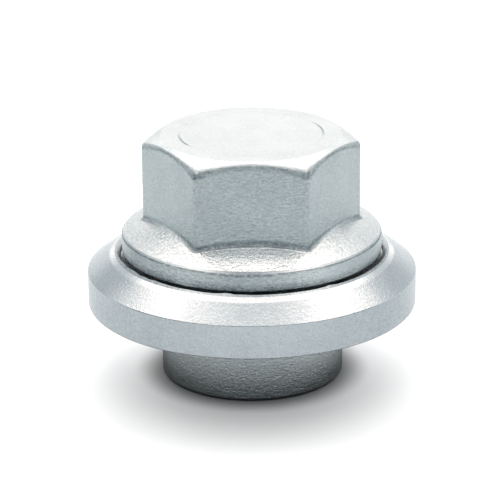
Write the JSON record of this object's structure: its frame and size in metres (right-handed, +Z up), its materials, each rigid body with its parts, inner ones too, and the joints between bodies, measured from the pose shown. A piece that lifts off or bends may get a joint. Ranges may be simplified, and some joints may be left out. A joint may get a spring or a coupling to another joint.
{
  "type": "lug nut",
  "caption": "Closed-end wheel lug nut with a hexagon head, conical flange, plain shank and a loose captive washer that spins under the flange.",
  "frame": {"origin": "centre of the shank's end face, which the nut stands on", "axes": "+Z up the nut's axis from the shank to the crown, -Y normal to one flat of the hexagon"},
  "size_m": [0.0382, 0.0382, 0.0289],
  "materials": {
    "nut_steel": "hot-forged steel with a satin zinc-flake coat, fine pebbled grain",
    "washer_steel": "turned steel with the same satin zinc-flake coat, faint turning lines under it"
  },
  "bodies": {
    "nut": {"nut_body": "nut_steel"},
    "washer": {"captive_washer": "washer_steel"}
  },
  "joints": [
    {"name": "washer_spin", "type": "hinge", "parent": "nut", "child": "washer", "pos_m": [0, 0, 0.0108], "axis": [0, 0, 1], "continuous": true}
  ]
}
